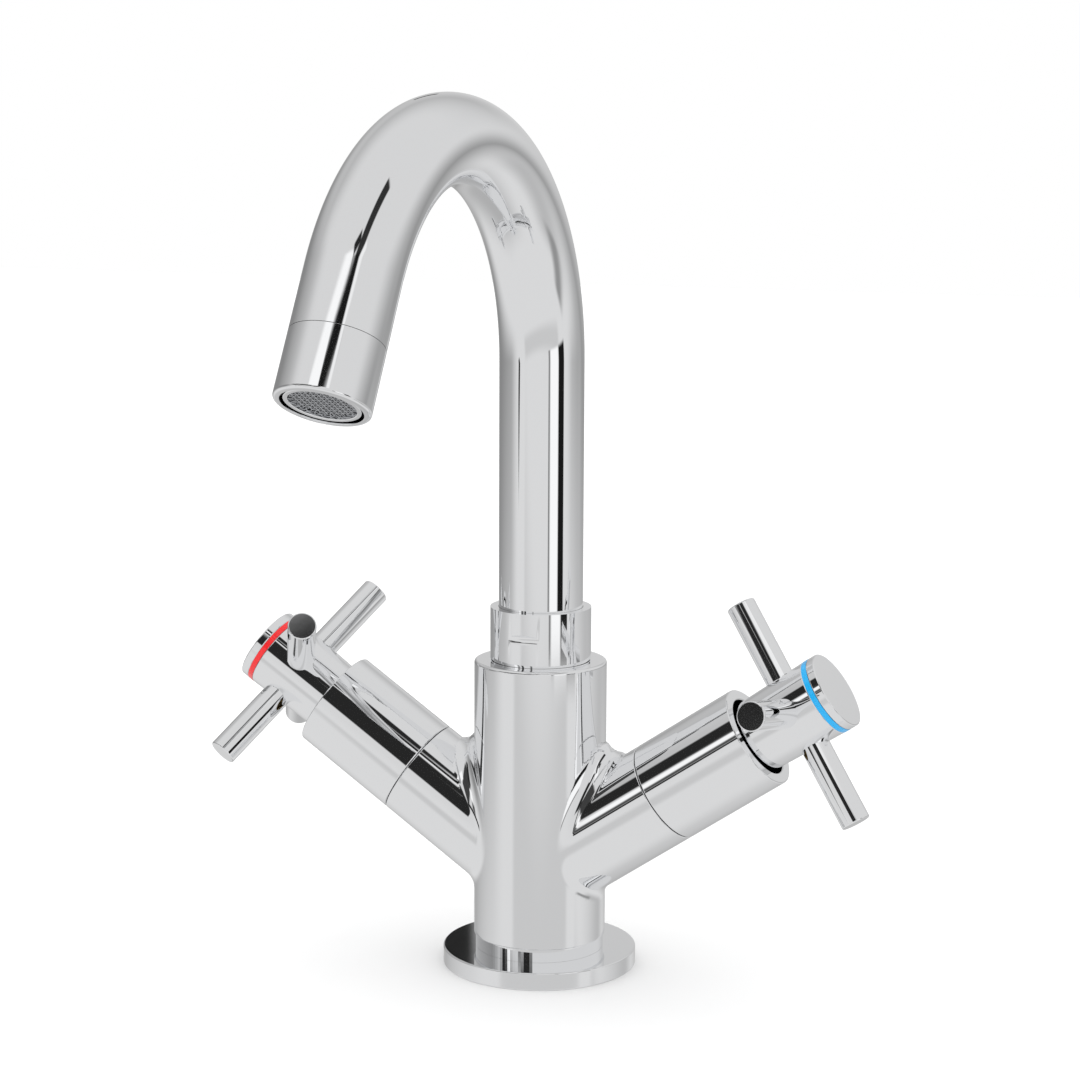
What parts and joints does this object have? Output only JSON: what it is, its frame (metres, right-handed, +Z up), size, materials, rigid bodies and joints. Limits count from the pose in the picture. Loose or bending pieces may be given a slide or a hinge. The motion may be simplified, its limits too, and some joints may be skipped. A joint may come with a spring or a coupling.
{
  "type": "basin mixer tap",
  "caption": "Two-handle basin mixer with a swivelling curved tube spout, tilted valve arms, cross handles and red and blue index rings.",
  "frame": {"origin": "on the column axis at the underside of the base flange, where the tap sits on the basin", "axes": "+Z up along the column; spout towards -Y; hot arm towards -X and cold arm towards +X"},
  "size_m": [0.2026, 0.1866, 0.2625],
  "materials": {
    "chrome": "mirror-bright chrome plate on brass",
    "brass": "machined",
    "rubber": "moulded",
    "ceramic": "lapped alumina ceramic",
    "acetal": "moulded acetal",
    "steel": "stainless steel",
    "hot_red": "gloss red",
    "cold_blue": "gloss blue"
  },
  "bodies": {
    "base": {"body": "chrome", "base_flange": "chrome", "base_seal": "rubber", "collar_nut": "chrome", "thrust_washer": "acetal", "slip_ring": "acetal", "hot_headwork": "brass", "hot_seat_seal": "rubber", "hot_fixed_disc": "ceramic", "hot_headwork_washer": "rubber", "hot_sleeve": "chrome", "cold_headwork": "brass", "cold_seat_seal": "rubber", "cold_fixed_disc": "ceramic", "cold_headwork_washer": "rubber", "cold_sleeve": "chrome"},
    "spout": {"spout_tube": "chrome", "spout_tail": "brass", "tail_seal_lower": "rubber", "tail_seal_upper": "rubber", "nozzle": "chrome", "aerator_washer": "rubber", "aerator_ring": "chrome", "aerator_insert": "acetal", "aerator_mesh": "steel"},
    "hot_handle": {"hot_moving_disc": "ceramic", "hot_spindle": "brass", "hot_spindle_seals": "rubber", "hot_spindle_clip": "steel", "hot_hub": "chrome", "hot_spoke_1": "chrome", "hot_spoke_2": "chrome", "hot_spoke_3": "chrome", "hot_spoke_4": "chrome", "hot_index_ring": "hot_red", "hot_end_cap": "chrome", "hot_handle_screw": "steel"},
    "cold_handle": {"cold_moving_disc": "ceramic", "cold_spindle": "brass", "cold_spindle_seals": "rubber", "cold_spindle_clip": "steel", "cold_hub": "chrome", "cold_spoke_1": "chrome", "cold_spoke_2": "chrome", "cold_spoke_3": "chrome", "cold_spoke_4": "chrome", "cold_index_ring": "cold_blue", "cold_end_cap": "chrome", "cold_handle_screw": "steel"}
  },
  "joints": [
    {"name": "spout_swivel", "type": "hinge", "parent": "base", "child": "spout", "pos_m": [0, 0, 0.1], "axis": [0, 0, 1], "continuous": true},
    {"name": "hot_valve", "type": "hinge", "parent": "base", "child": "hot_handle", "pos_m": [-0.08013, 0, 0.08456], "axis": [-0.8261, 0, 0.5635], "range_deg": [0, 90]},
    {"name": "cold_valve", "type": "hinge", "parent": "base", "child": "cold_handle", "pos_m": [0.08013, 0, 0.08456], "axis": [-0.8261, 0, -0.5635], "range_deg": [0, 90]}
  ]
}
